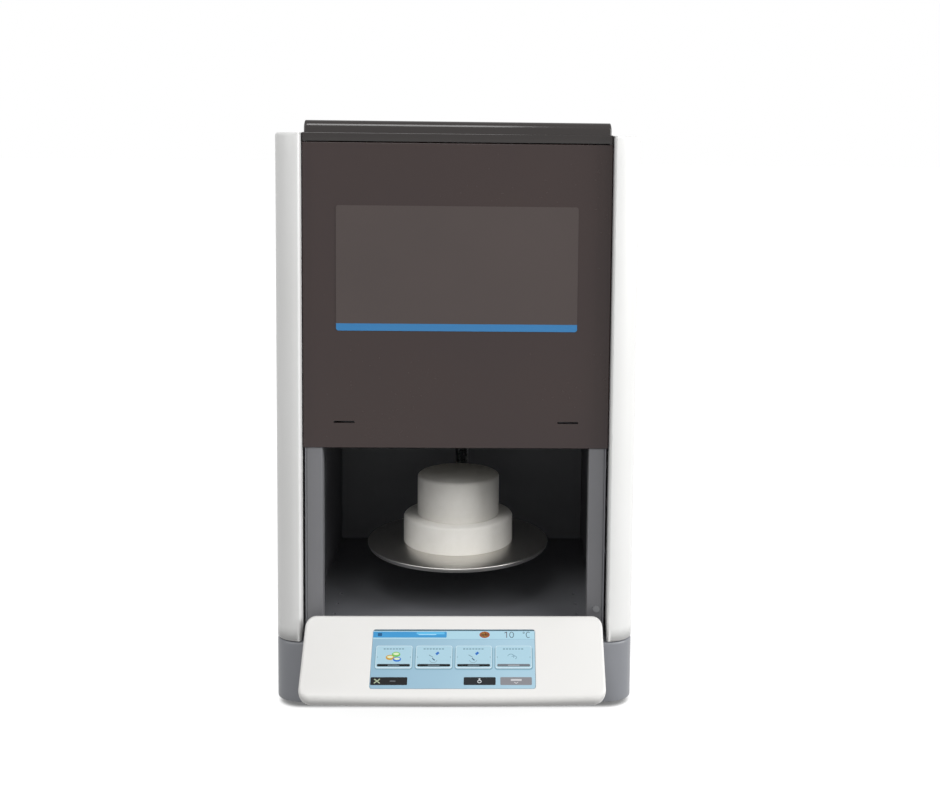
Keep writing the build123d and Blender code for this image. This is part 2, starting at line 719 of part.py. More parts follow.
blade_count = 7
rotor = Pos(0, fan_y + 5, 0) * facing_back * bar_up(0, 0, 0, 14, hub_r, 2 * blade_count)
blade_root = hub_r - 1.5
blade_tip = fan_in - 1.5
blade = Pos((blade_root + blade_tip) / 2, fan_y + 12, 0) * Rot(-38, 0, 0) * Box(blade_tip - blade_root, 1.4, 18)
for k in range(blade_count):
    rotor += Rot(0, 360 / blade_count * k, 0) * blade
rotor = Pos(0, 0, fan_z) * rotor
rotor -= rod_back(0, fan_z, fan_y + 4, fan_y + 16.5, pin_r + bore_gap)
save("fan_rotor", rotor)

# =====================================================================
# Lift: frame with two plates, guide rods, screw motor
# =====================================================================

spine_y = (lift_y + 40.0, lift_y + 43.0)
lift_half = 61.0
plate_front = lift_y - 29
side_profile = [
    (back_y, tray_top), (back_y, tray_top + 3), (spine_y[1], tray_top + 3), (spine_y[1], lift_top),
    (plate_front, lift_top), (plate_front, lift_top - plate_thick), (spine_y[0], lift_top - plate_thick),
    (spine_y[0], plate_low + plate_thick), (plate_front, plate_low + plate_thick), (plate_front, plate_low),
    (spine_y[0], plate_low), (spine_y[0], tray_top),
]
lift_frame = side_view(side_profile, -lift_half, lift_half)
lift_frame -= block(-34, 34, spine_y[0] - 1, spine_y[1] + 1, 110, 270)
switch_room = 5.0
for s in (-1, 1):
    rib = [(spine_y[0], plate_low), (spine_y[0], plate_low - 34), (plate_front + 8, plate_low)]
    x = s * (lift_half - 2)
    lift_frame += side_view(rib, x - 2, x + 2)
lift_frame -= block(
    switch_x - switch_half_x - switch_room, switch_x + switch_half_x + switch_room,
    body_back - switch_depth - switch_room, body_back,
    socket_z - switch_half_z - switch_room, socket_z + switch_half_z + switch_room)
bearing_r = 14.0
pilot_r = 19.0
lift_frame -= bar_up(0, lift_y, lift_top - plate_thick - 1, lift_top + 1, bearing_r)
lift_frame -= bar_up(0, lift_y, plate_low - 1, plate_low + plate_thick + 1, pilot_r)
save("lift_frame", lift_frame)

rods = [rod_up(s * rod_x_pos, lift_y, plate_low + plate_thick, lift_top - plate_thick, rod_r) for s in (-1, 1)]
save("guide_rods", whole(rods))

motor_half = 28.5
motor_low = tray_top + 3.0
motor_box = block(-motor_half, motor_half, lift_y - motor_half, lift_y + motor_half, motor_low, plate_low)
motor = chamfer(motor_box.edges().filter_by(Axis.Z), 4.0)
past = motor_half + 1
waist = block(-past, past, lift_y - past, lift_y + past, motor_low + 14, plate_low - 12)
stack = motor_half - 1
core_block = block(-stack, stack, lift_y - stack, lift_y + stack, motor_low, plate_low)
motor -= waist - chamfer(core_block.edges().filter_by(Axis.Z), 7.0)
motor += bar_up(0, lift_y, plate_low - 1, plate_low + plate_thick, pilot_r)
screw_low = motor_low + 12
motor -= bar_up(0, lift_y, screw_low - 1, lift_top, screw_r + 1.0)
save("lift_motor", motor)

bearing = bar_up(0, lift_y, lift_top - plate_thick, lift_top + 1, bearing_r)
bearing -= rod_up(0, lift_y, lift_top - 10, lift_top + 5, screw_r + bore_gap)
save("screw_bearing", bearing)

screw = rod_up(0, lift_y, screw_low, lift_top + 8, screw_r)
flat_low = lift_top + 4
for x0, x1 in ((-8, -4.8), (4.8, 8)):
    screw -= block(x0, x1, lift_y - 8, lift_y + 8, flat_low, flat_low + 6)
save("lead_screw", screw)

switch_z = (carriage_low + carriage_h / 2, carriage_low + carriage_h / 2 + lift_travel)
micro = []
for z in switch_z:
    case = block(52, 62, spine_y[0] - 12, spine_y[0], z - 8, z + 12)
    lever_y = spine_y[0] - 12
    lever_points = [(lever_y, z + 9), (lever_y - 6, z - 4), (lever_y - 5.2, z - 4), (lever_y + 1, z + 10)]
    micro.append(case + side_view(lever_points, 54, 60))
save("limit_switches", whole(micro))

# =====================================================================
# Moving group: carriage, bushes, nut, arm, hub, steel table, fibre hearth
# =====================================================================

carriage_top = carriage_low + carriage_h
carriage_front = lift_y - carriage_half_y
carriage_half = 58.0
bush_r = 10.5
nut_r = 11.0
carriage = block(
    -carriage_half, carriage_half, carriage_front, lift_y + carriage_half_y, carriage_low, carriage_top)
carriage = chamfer(carriage.edges().filter_by(Axis.Z), 3.0)
for s in (-1, 1):
    carriage -= bar_up(s * rod_x_pos, lift_y, carriage_low - 1, carriage_top + 1, bush_r)
    pocket_x = s * 23
    carriage -= block(
        pocket_x - 7, pocket_x + 7, carriage_front + 18, lift_y + 20, carriage_low - 1, carriage_top + 1)
carriage -= bar_up(0, lift_y, carriage_low - 1, carriage_top + 1, nut_r)
save("lift_carriage", carriage)

bushes = []
for s in (-1, 1):
    bush = bar_up(s * rod_x_pos, lift_y, carriage_low, carriage_top, bush_r)
    bushes.append(bush - rod_up(s * rod_x_pos, lift_y, carriage_low - 1, carriage_top + 1, rod_r + bore_gap))
save("carriage_bushes", whole(bushes))

nut_flange = 5.0
nut = bar_up(0, lift_y, carriage_low - nut_flange, carriage_low, 15.5, 12)
nut += bar_up(0, lift_y, carriage_low, carriage_low + 30, nut_r)
nut -= rod_up(0, lift_y, carriage_low - 10, carriage_top, screw_r + bore_gap)
save("lead_nut", nut)

arm_root = 8.0
arm_profile = [
    (hearth_y - 30, arm_top), (hearth_y - 30, arm_top - 8), (hearth_y - 24, arm_top - 12),
    (hearth_y + 40, arm_top - 14), (bay_back + 12, carriage_low + 2), (carriage_front, carriage_low + 2),
    (carriage_front, carriage_top - 2), (carriage_front - arm_root, carriage_top - 2), (bay_back + 14, arm_top),
]
arm = side_view(arm_profile, -arm_half, arm_half)
arm += block(-26, 26, carriage_front - arm_root, carriage_front, carriage_low + 2, carriage_top - 2)
for sx in (-1, 1):
    for z in (carriage_low + 10, carriage_top - 10):
        bolt_head = Rot(90, 0, 0) * bar_up(0, 0, 0, 4, 5.0, 6)
        arm += Pos(sx * 17, carriage_front - arm_root, z) * bolt_head
save("lift_arm", arm)

disc_low = disc_top - disc_thick
hub_r_low = 30.0
hub_flare = 2.4
table_hub = bar_up(0, hearth_y, arm_top, arm_top + hub_flare, hub_r_low, 24)
table_hub += bar_up(0, hearth_y, arm_top + hub_flare, disc_low, hub_r_low + 5.0, 24)
save("table_hub", table_hub)

rim_low = disc_top - disc_rim
rim_points = [(0, disc_low), (disc_r - 2.6, disc_low), (disc_r, rim_low), (disc_r, disc_top), (0, disc_top)]
table = revolve(Plane.XZ * make_face(Polyline(*rim_points, close=True)), axis=Axis.Z)
save("table_disc", Pos(0, hearth_y, 0) * table)

lower_top = disc_top + lower_h
upper_top = lower_top + upper_h
save("hearth_lower", rod_up(0, hearth_y, disc_top, lower_top, lower_r))
save("hearth_upper", rod_up(0, hearth_y, lower_top, upper_top, upper_r))
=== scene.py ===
import math

import bmesh
import bpy
import numpy as np
from mathutils import Matrix, Vector


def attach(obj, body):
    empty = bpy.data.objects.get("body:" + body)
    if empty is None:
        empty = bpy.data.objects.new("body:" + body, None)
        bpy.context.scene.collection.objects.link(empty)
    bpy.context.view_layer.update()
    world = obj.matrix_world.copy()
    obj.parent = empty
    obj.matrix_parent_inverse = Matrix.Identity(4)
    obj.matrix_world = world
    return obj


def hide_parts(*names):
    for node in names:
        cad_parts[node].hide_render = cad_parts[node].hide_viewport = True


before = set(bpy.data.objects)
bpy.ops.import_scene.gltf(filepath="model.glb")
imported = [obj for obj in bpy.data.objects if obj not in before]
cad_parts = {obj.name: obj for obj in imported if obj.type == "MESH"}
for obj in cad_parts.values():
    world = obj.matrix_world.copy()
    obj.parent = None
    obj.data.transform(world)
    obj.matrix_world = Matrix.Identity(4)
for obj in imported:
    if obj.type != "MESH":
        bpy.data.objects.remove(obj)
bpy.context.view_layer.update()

# ---------------------------------------------------------------------
# Rubber feet: four moulded buttons pushed into the base tray. Soft black
# rubber, dull.
# ---------------------------------------------------------------------
MM = 0.001
PANEL_Y = -165.3474    # where the front panel's face lies in the frame; sizes below are counted from it


def put(points):
    """Millimetres counted from the front panel's face, turned to metres in the frame."""
    return (np.asarray(points, float) + (0, PANEL_Y, 0)) * MM


def surface(name, grids, paint, body, inside=None, sharp=35.0, capped=False):
    """One mesh from grids of points in millimetres.

    Neighbours in a grid's rows and columns make four-sided faces, edges that meet are welded,
    and the faces are turned away from the point inside, or outwards if none is given.
    capped closes the open ends with flat faces.
    """
    points, faces, start = [], [], 0
    for grid in grids:
        rows, columns = grid.shape[:2]
        k = np.arange(rows * columns).reshape(rows, columns) + start
        faces.append(np.stack([k[:-1, :-1], k[1:, :-1], k[1:, 1:], k[:-1, 1:]], -1).reshape(-1, 4))
        points.append(grid.reshape(-1, 3))
        start += rows * columns
    mesh = bpy.data.meshes.new(name)
    mesh.from_pydata(put(np.concatenate(points)).tolist(), [], np.concatenate(faces).tolist())
    work = bmesh.new()
    work.from_mesh(mesh)
    bmesh.ops.remove_doubles(work, verts=work.verts, dist=2e-6)
    if capped:
        bmesh.ops.holes_fill(work, edges=[edge for edge in work.edges if edge.is_boundary], sides=0)
    bmesh.ops.recalc_face_normals(work, faces=work.faces)
    if inside is not None:
        middle = Vector(put(inside))
        facing = sum(f.calc_area() * f.normal.dot(f.calc_center_median() - middle) for f in work.faces)
        if facing < 0:
            bmesh.ops.reverse_faces(work, faces=work.faces)
    work.to_mesh(mesh)
    work.free()
    mesh.shade_smooth()
    mesh.set_sharp_from_angle(angle=math.radians(sharp))
    piece = bpy.data.objects.new(name, mesh)
    bpy.context.scene.collection.objects.link(piece)
    piece.data.materials.append(paint)
    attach(piece, body)
    return piece


def turned(profile, x, y, steps=72):
    """A profile of (radius, height) carried once round the upright axis through x, y."""
    r, z = np.asarray(profile, float).T
    turn = np.linspace(0, 2 * np.pi, steps + 1)
    turn[-1] = 0
    level = np.outer(z, np.ones(steps + 1))
    return np.stack([x + np.outer(r, np.cos(turn)), y + np.outer(r, np.sin(turn)), level], -1)


def softened(points, radii, steps=5):
    """A line of points whose corners are rounded: each corner becomes a curve that starts and ends
    at its radius's distance from the corner, with the weights (1 - t)^2, 2 t (1 - t) and t^2 on its
    start, on a point near the corner and on its end."""
    points = [np.asarray(p, float) for p in points]
    line = [points[0]]
    for before, corner, after, r in zip(points, points[1:], points[2:], radii):
        a = corner + (before - corner) / np.linalg.norm(before - corner) * r
        b = corner + (after - corner) / np.linalg.norm(after - corner) * r
        t = np.linspace(0, 1, steps + 1)[:, None]
        line.extend((1 - t) ** 2 * a + 2 * t * (1 - t) * (0.42 * corner + 0.29 * (a + b)) + t ** 2 * b)
    line.append(points[-1])
    return np.array(line)


def linear(code):
    """An sRGB hex colour as linear red, green, blue and alpha."""
    c = np.array([int(code[i:i + 2], 16) for i in (1, 3, 5)]) / 255
    return (*np.where(c <= 0.04045, c / 12.92, ((c + 0.055) / 1.055) ** 2.4), 1.0)


def join(paint, node, sockets):
    """Links sockets into a node's inputs of those names."""
    for key, socket in sockets.items():
        paint.node_tree.links.new(socket, node.inputs[key])


def add(paint, kind, values=None, links=None):
    """Adds one node to a material: values set its sockets or own settings, links join sockets to it."""
    node = paint.node_tree.nodes.new("ShaderNode" + kind)
    for key, value in (values or {}).items():
        if isinstance(key, str) and key not in node.inputs:
            setattr(node, key, value)
        else:
            node.inputs[key].default_value = value
    join(paint, node, links or {})
    return node


def new_paint(name, **sockets):
    """A material with its shader's own sockets set, and that shader."""
    paint = bpy.data.materials.new(name)
    paint.use_nodes = True
    shader = paint.node_tree.nodes["Principled BSDF"]
    for key, value in sockets.items():
        shader.inputs[key.replace("_", " ")].default_value = value
    return paint, shader


MIDDLE = {"From Min": 0.3, "From Max": 0.7}   # where most values of a soft pattern lie


def finish(name, light, dark, patch, grain, depth, gloss, stretch=(1, 1, 1), **sockets):
    """A painted, moulded, rolled or cast skin.

    Colour drifts between two near tones over patches of that many millimetres, roughness between
    the two values of gloss over the same patches and the grain, and a grain of that many
    millimetres stands up by depth millimetres. stretch draws patches and grain out along an axis.
    """
    paint, shader = new_paint(name, **sockets)
    place = add(paint, "TexCoord").outputs["Object"]
    where = {"Vector": add(paint, "Mapping", {"Scale": stretch}, {"Vector": place}).outputs[0]}
    patches = {"Scale": 1 / (patch * MM), "Detail": 3.0, "Roughness": 0.6}
    drift = add(paint, "TexNoise", patches, where).outputs["Fac"]
    fine = add(paint, "TexNoise", {"Scale": 1 / (grain * MM), "Detail": 2.0}, where).outputs["Fac"]
    tones = {"data_type": "RGBA", 6: linear(dark), 7: linear(light)}
    tone = add(paint, "Mix", tones, {0: drift}).outputs[2]
    grain_share = add(paint, "Math", {"operation": "MULTIPLY", 1: 0.6}, {0: fine}).outputs[0]
    wear = add(paint, "Math", {"operation": "MULTIPLY_ADD", 1: 0.4}, {0: drift, 2: grain_share}).outputs[0]
    rough = add(paint, "MapRange", {**MIDDLE, "To Min": gloss[0], "To Max": gloss[1]}, {"Value": wear})
    bump = add(paint, "Bump", {"Strength": 1.0, "Distance": depth * MM}, {"Height": fine})
    join(paint, shader, {"Base Color": tone, "Roughness": rough.outputs[0], "Normal": bump.outputs[0]})
    return paint


def dress(paint, *nodes, edge=0.0):
    """The frame's own nodes keep their shape and take this material. edge is how many millimetres
    wide a soft band goes on every edge that turns by more than 30 degrees."""
    for node in nodes:
        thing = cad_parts[node]
        thing.data.materials.clear()
        thing.data.materials.append(paint)
        if edge:
            soft = thing.modifiers.new("edge", "BEVEL")
            soft.width = edge * MM
            soft.segments = 2
            soft.limit_method = "ANGLE"
            soft.angle_limit = math.radians(30)


rubber = finish("moulded_rubber", "#2a2a2a", "#1b1b1b", 9, 0.5, 0.03, (0.62, 0.85))
FOOT_HIGH = 6.0
foot_profile = softened([(0, 0), (11.4, 0), (12, 0.6), (9.4, FOOT_HIGH), (0, FOOT_HIGH)], (0.4, 0.4, 0.8))
foot_places = [(x, y) for x in (-138, 138) for y in (22, 372)]
feet = surface("rubber_feet", [turned(foot_profile, x, y, 40) for x, y in foot_places], rubber, "housing")
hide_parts("feet")
dress(rubber, "transformer_pad")

# ---------------------------------------------------------------------
# Base: a folded tray of zinc coated sheet, and the moulded grey skirt
# that stands round it and carries the sides. The skirt is ABS with a
# fine spark grain, its upper edge catches the light.
# ---------------------------------------------------------------------
zinc = finish("zinc_coated_sheet", "#b4b8bb", "#8d9296", 14, 3.0, 0.01, (0.28, 0.5), Metallic=1.0)
dress(zinc, "base_tray", "chamber_shell", "lift_frame", "console_back_plate", "lift_arm")

HALF = 175.0                                # half the housing's width
FRONT, BACK = -10.5, 400.0
BASE_TOP = 66.0
CORNER = (26.0, 22.0)                       # the front corners' radii across and back


def housing_corner(steps=18):
    """The housing's front right corner in plan: a quarter ellipse from the front round to the side."""
    t = np.linspace(0, np.pi / 2, steps + 1)
    return np.stack([HALF - CORNER[0] + CORNER[0] * np.sin(t), FRONT + CORNER[1] * (1 - np.cos(t))], -1)


def inward(plan):
    """Unit vectors square to a line in plan, to the left of the way it runs."""
    along = np.gradient(plan, axis=0)
    along /= np.linalg.norm(along, axis=1)[:, None]
    return np.stack([-along[:, 1], along[:, 0]], -1)


def carried(plan, profile):
    """A profile of (distance inward, height) carried along a line in plan."""
    side = inward(plan)
    return [np.column_stack([plan + side * d, np.full(len(plan), z)]) for d, z in profile]


def walled(piece, thick):
    """Gives a skin its wall, inwards."""
    wall = piece.modifiers.new("wall", "SOLIDIFY")
    wall.thickness = thick * MM
    wall.offset = -1.0
    wall.use_even_offset = False
    wall.use_rim = True


corner = housing_corner()
half_front = np.column_stack([np.linspace(0, HALF - CORNER[0], 30)[:-1], np.full(29, FRONT)])
LIP_END = 16.0                              # where the side panels' front lips end
along = np.concatenate([[LIP_END], np.linspace(30, BACK, 23)])
flank = np.column_stack([np.full(len(along), HALF), along])
rear = np.column_stack([HALF - np.linspace(0, 15, 6)[1:], np.full(5, BACK)])
right_plan = np.concatenate([half_front, corner, flank, rear])
skirt_plan = np.concatenate([right_plan[:0:-1] * (-1, 1), right_plan])
SKIN = 2.5                                  # the skirt's wall
LOW = FOOT_HIGH
skirt_wall = [(0.5, LOW), (0.12, LOW + 0.2), (0, LOW + 0.8)] + [(0, z) for z in np.linspace(12, 60, 9)]
skirt_wall += [(0, 63.7), (0.16, 64.6), (0.67, 65.33), (1.4, 65.84), (2.3, BASE_TOP)]
outer = carried(skirt_plan, skirt_wall)
inner = carried(skirt_plan, [(SKIN, BASE_TOP - SKIN), (SKIN, LOW)])
opening = np.where(skirt_plan[:, 1] > 380, 160.0, 147.0)    # half the width of the hole in the ledge
ledge_x = np.clip(skirt_plan[:, 0], -opening, opening)
ledge_y = np.clip(skirt_plan[:, 1], -4, BACK - SKIN)
ledge = [np.column_stack([ledge_x, ledge_y, np.full(len(opening), z)]) for z in (BASE_TOP, BASE_TOP - SKIN)]
base_grey = finish("moulded_abs_grey", "#8a8c91", "#818388", 60, 0.55, 0.012, (0.3, 0.44))
skirt_skin = np.array(outer + ledge + inner + outer[:1])
skirt = surface("base_skirt_moulding", [skirt_skin], base_grey, "housing", capped=True)
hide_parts("base_skirt")

# ---------------------------------------------------------------------
# Bay: sheet posts at its front, and side sheets, a floor, back wall and
# shelf, all powder coated dark grey. A plug closes a hole in one post.
# ---------------------------------------------------------------------
post_grey = finish("powder_coat_grey", "#7b7b7e", "#707073", 50, 0.8, 0.02, (0.36, 0.5))
dress(post_grey, "post_right", "post_left", edge=0.5)
bay_dark = finish("powder_coat_dark", "#797a7e", "#6e6f73", 40, 0.7, 0.02, (0.4, 0.58))
dress(bay_dark, "frame_right", "frame_left", "bay_back_wall", "chamber_shelf")
dress(bay_dark, "bay_floor", edge=0.3)
nylon = finish("moulded_nylon", "#8c8d8f", "#828386", 5, 0.4, 0.01, (0.3, 0.45))
dress(nylon, "post_plug", edge=0.6)

# ---------------------------------------------------------------------
# Heating chamber: vacuum formed fibre blocks in a sheet shell, four
# silicide elements, their ceramic holders, braided straps, thermocouple.
# ---------------------------------------------------------------------
fibre = finish("vacuum_formed_fibre", "#e6e2d8", "#d3cdbf", 12, 0.9, 0.12, (0.85, 1.0))
dress(fibre, "insulation_floor", "insulation_wall", "insulation_roof")
silicide = finish("fired_silicide", "#4c4845", "#37332f", 6, 0.4, 0.02, (0.3, 0.5))
dress(silicide, "heating_elements")
bisque = finish("bisque_ceramic", "#e4dcc8", "#d2c8b0", 8, 0.5, 0.03, (0.7, 0.9))
dress(bisque, "element_holders", "thermocouple", edge=0.5)
rolled_alu = finish("rolled_aluminium", "#c9cbcd", "#b2b5b8", 10, 0.6, 0.008, (0.25, 0.45),
                    stretch=(1, 6, 6), Metallic=1.0)
dress(rolled_alu, "element_straps", "lift_carriage", "table_hub", edge=0.4)

# ---------------------------------------------------------------------
# Power, control and lift: toroidal transformer, heat sink with its
# module, control board, screw drive on two plated rods.
# ---------------------------------------------------------------------
winding = finish("lacquered_winding", "#7c4a22", "#5a3216", 4, 1.2, 0.15, (0.2, 0.45))
dress(winding, "transformer")
bright_steel = finish("turned_steel", "#c4c6c8", "#adb0b3", 6, 0.5, 0.006, (0.2, 0.4), Metallic=1.0)
dress(bright_steel, "transformer_bolt", "lift_motor", "screw_bearing")
plated = finish("plated_rod", "#d5d7d9", "#c6c8ca", 20, 0.5, 0.002, (0.08, 0.18), Metallic=1.0)
dress(plated, "guide_rods")
anodised = finish("black_anodised_aluminium", "#2a2b2e", "#1d1e20", 12, 0.5, 0.006, (0.3, 0.5),
                  Metallic=0.7)
dress(anodised, "heat_sink")
black_moulding = finish("moulded_black_nylon", "#242427", "#19191b", 15, 0.5, 0.02, (0.38, 0.6))
dress(black_moulding, "power_module", "display_module", "limit_switches")
dress(black_moulding, "fan_frame", "fan_rotor", edge=0.4)
solder_mask = finish("solder_mask_green", "#1f6a39", "#17532c", 7, 1.5, 0.05, (0.25, 0.45))
dress(solder_mask, "control_board", "console_board")
brass = finish("turned_brass", "#c9a860", "#b08f48", 5, 0.5, 0.006, (0.2, 0.4), Metallic=1.0)
dress(brass, "board_standoffs")
bronze = finish("turned_bronze", "#b58a4a", "#9a7238", 5, 0.5, 0.006, (0.25, 0.45), Metallic=1.0)
dress(bronze, "carriage_bushes", "lead_nut", edge=0.4)


def thread(low, high, root, crest, threaded, flats, lead, starts, y):
    """A screw's skin: the radius goes from root to crest and back over each pitch, and the pattern
    climbs by lead in one turn. The stem is plain outside the threaded heights, and above the height
    flats[0] it has a flat at that distance on two sides."""
    z, turn = np.meshgrid(np.arange(low, high + 0.01, 0.5), np.linspace(0, 2 * np.pi, 41), indexing="ij")
    phase = starts * (z / lead - turn / (2 * np.pi)) % 1
    flank = np.clip(0.5 + 2.2 * (abs(2 * phase - 1) - 0.5), 0, 1)
    r = np.where((z > threaded[0]) & (z < threaded[1]), root + (crest - root) * flank, crest)
    flat = (z > flats[0]) & (abs(r * np.cos(turn)) > flats[1])
    x = np.where(flat, np.sign(np.cos(turn)) * flats[1], r * np.cos(turn))
    x[:, -1] = x[:, 0]
    return np.stack([x, y + r * np.sin(turn), z], -1)


stem = thread(22.5, 312.0, 4.9, 6.0, (36, 296), (308, 4.8), 16.0, 4, 345.0)
screw = surface("lead_screw_turned", [stem], bright_steel, "screw", sharp=40, capped=True)
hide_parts("lead_screw")

# ---------------------------------------------------------------------
# Side panels: aluminium sections, white satin powder coat with a faint
# orange peel, a rounded top edge and a lip turned in at the front panel.
# ---------------------------------------------------------------------
SIDE_LOW, SIDE_TOP = 67.2, 561.0
LIP_X = HALF - CORNER[0]
white_coat = finish("powder_coat_white", "#eeeeed", "#e8e8e6", 90, 1.1, 0.012, (0.3, 0.42))
EDGE_R = 3.0                                # the top edge's radius
drawn_corner = corner[1:] + inward(corner)[1:] * EDGE_R
lip_y = np.append(drawn_corner[3:, 1], LIP_END)
lip = np.column_stack([np.full(len(lip_y), LIP_X), lip_y[::-1]])
nose = softened([lip[-1], (LIP_X, FRONT), corner[1]], (2.0,), 5)[1:-1]
REAR_X = (169.0, 166.0, 163.0, 160.0)       # columns of points in the fold at the back
MIDDLE_X = 154.5                            # and between that fold's end and the lip
rear = np.column_stack([REAR_X, np.full(4, BACK)])
outline = np.concatenate([nose, corner[1:], flank, rear])
square = inward(outline)
mitre = len(outline) - 5
square[mitre] = (-1, -1)
square[mitre + 1:] = (0, -1)
ease = np.clip(np.arange(len(outline)) / (len(nose) + 3), 0, 1)[:, None] ** 2
walls = np.concatenate([lip, outline])
side_heights = [SIDE_LOW] + list(np.linspace(80, 540, 12))
rows = [np.column_stack([walls, np.full(len(walls), z)]) for z in side_heights]
for a in np.radians((0, 15, 30, 45, 60, 75, 90)):
    drawn = outline + square * EDGE_R * ease * (1 - math.cos(a))
    low = SIDE_TOP - EDGE_R * ease[:, 0] * (1 - math.sin(a))
    levels = np.concatenate([np.full(len(lip), SIDE_TOP), low])
    rows.append(np.column_stack([np.concatenate([lip, drawn]), levels]))
upright_part = np.array(rows)
top_line = upright_part[-1, len(lip):len(lip) + mitre + 1]
edge_y = np.maximum(top_line[:, 1], lip[-1, 1])
edge_line = np.column_stack([np.full(len(top_line), LIP_X), edge_y, top_line[:, 2]])
columns = np.array([HALF - EDGE_R, *REAR_X, MIDDLE_X, LIP_X])
shares = (top_line[-1, 0] - columns) / (HALF - EDGE_R - LIP_X)
cap_part = np.array([top_line * (1 - t) + edge_line * t for t in shares])
tail = upright_part[len(side_heights):, -1]
flat_tail = tail * (0, 1, 1)
tail_part = np.array([tail, flat_tail + (MIDDLE_X, 0, 0), flat_tail + (LIP_X, 0, 0)])
for side, node in ((1, "side_panel_right"), (-1, "side_panel_left")):
    skins = [part * (side, 1, 1) for part in (upright_part, cap_part, tail_part)]
    panel = surface(node + "_section", skins, white_coat, "housing", inside=(side * 150, 200, 300))
    walled(panel, 2.3)
    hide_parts(node)

# ---------------------------------------------------------------------
# Front panel: folded sheet in brown-black gloss enamel, with two air
# slots, and a printed film laid on it that ends in a blue band.
# ---------------------------------------------------------------------
enamel = finish("gloss_enamel_brown", "#3f3431", "#392f30", 150, 4.0, 0.004, (0.2, 0.28),
                Specular_IOR_Level=0.3)
dress(enamel, "front_panel")

BAND_TOP = 378.8                            # the blue band reaches from the film's lower edge up to here
film, film_shader = new_paint("printed_film", Specular_IOR_Level=0.3)
PATCH, RIPPLE = 71.4, 16.7                  # sizes of the film's faint patches and of its waves
place = add(film, "TexCoord").outputs["Object"]
height = add(film, "SeparateXYZ", {}, {0: place}).outputs["Z"]
fade = {"From Min": (BAND_TOP - 0.2) * MM, "From Max": (BAND_TOP + 0.2) * MM, "To Min": 1.0, "To Max": 0.0}
band = add(film, "MapRange", fade, {"Value": height}).outputs[0]
cloud = add(film, "TexNoise", {"Scale": 1 / (PATCH * MM), "Detail": 2.0}, {"Vector": place}).outputs["Fac"]
browns = {"data_type": "RGBA", 6: linear("#4b4240"), 7: linear("#504745")}
brown = add(film, "Mix", browns, {0: cloud}).outputs[2]
printed = add(film, "Mix", {"data_type": "RGBA", 7: linear("#3a80b8")}, {0: band, 6: brown}).outputs[2]
uneven = add(film, "TexNoise", {"Scale": 1 / (RIPPLE * MM), "Detail": 1.0}, {"Vector": place}).outputs["Fac"]
wave = add(film, "Bump", {"Strength": 1.0, "Distance": 0.03 * MM}, {"Height": uneven})
smear = add(film, "MapRange", {**MIDDLE, "To Min": 0.14, "To Max": 0.26}, {"Value": cloud})
join(film, film_shader, {"Base Color": printed, "Roughness": smear.outputs[0], "Normal": wave.outputs[0]})
dress(film, "front_film", edge=0.15)

# ---------------------------------------------------------------------
# Top cover: pressed sheet in two soft tiers, under a brown-black coat
# that mirrors softly, with nine air slots near its back.
# ---------------------------------------------------------------------
COVER_HALF, COVER_FRONT = 148.2, -1.0
COVER_LOW, STEP_Z, COVER_TOP = 553.5, 561.5, 573.0
TIER = 1.3                                  # how far the upper tier stands back from the lower
LOWER_R = 1.5                               # radius of the lower tier's upright corners
SIDE_FALL = 2.0                             # radius of the upper tier's side edges
FALL = (6.0, 8.0)                           # how far back and down its front edge curves
SLOT_FRONT = 275
slot_edges = np.add.outer(np.arange(-80, 81, 20), (-2.5, 2.5)).ravel()
ring_x = np.concatenate([[-143], [-115], slot_edges, [115], [143]])
ring_y = np.array([10, 40, 120, 200, SLOT_FRONT, 345, 390.0])


def crown_ring(side, front, back, round_x, round_y, z):
    """A closed line round the cover at one height, drawn in by side, front and back, its two front
    corners quarter ellipses and its two rear corners square."""
    x, y0, y1 = COVER_HALF - side, COVER_FRONT + front, BACK - back
    turn = np.linspace(0, np.pi / 2, 7)
    bend = np.stack([x - round_x * (1 - np.cos(turn)), y0 + round_y * (1 - np.sin(turn))], -1)
    right = np.column_stack([np.full(len(ring_y), x), ring_y])
    near = np.column_stack([ring_x, np.full(len(ring_x), y0)])
    far = np.column_stack([ring_x, np.full(len(ring_x), y1)])
    mirror = (-1, 1)
    ring = np.concatenate([near, bend[::-1], right, [(x, y1)], far[::-1], [(-x, y1)],
                           right[::-1] * mirror, bend * mirror])
    return np.column_stack([np.concatenate([ring, ring[:1]]), np.full(len(ring) + 1, z)])


rings = []
lower_edge = (0, STEP_Z - 0.8), (0.1, STEP_Z - 0.3), (0.35, STEP_Z - 0.05), (0.7, STEP_Z)
for d, z in ((0, COVER_LOW), (0, 557), *lower_edge):
    rings.append(crown_ring(d, d, 0, LOWER_R - d, LOWER_R - d, z))
for z in (STEP_Z + 0.1, 564, COVER_TOP - FALL[1]):
    rings.append(crown_ring(TIER, TIER, TIER, SIDE_FALL, FALL[0], z))
for a in np.radians(np.linspace(0, 90, 13)):
    drop = np.array((SIDE_FALL, FALL[0])) * (1 - math.cos(a))
    z = COVER_TOP - FALL[1] * (1 - math.sin(a))
    rings.append(crown_ring(TIER + drop[0], TIER + drop[1], TIER, SIDE_FALL - drop[0], FALL[0] - drop[1], z))
lid_half = COVER_HALF - TIER - SIDE_FALL
cut_x = np.concatenate([[-lid_half], ring_x, [lid_half]])
cut_y = np.concatenate([[COVER_FRONT + TIER + FALL[0]], ring_y, [BACK - TIER]])
lids = []
for i in range(len(cut_x) - 1):
    for k in range(len(cut_y) - 1):
        if not (cut_x[i] in slot_edges[::2] and cut_y[k] == SLOT_FRONT):
            x, y = np.meshgrid(cut_x[i:i + 2], cut_y[k:k + 2])
            lids.append(np.stack([x, y, np.full((2, 2), COVER_TOP)], -1))
crown_coat = finish("satin_coat_dark", "#2b2523", "#25201f", 120, 3.0, 0.004, (0.1, 0.15))
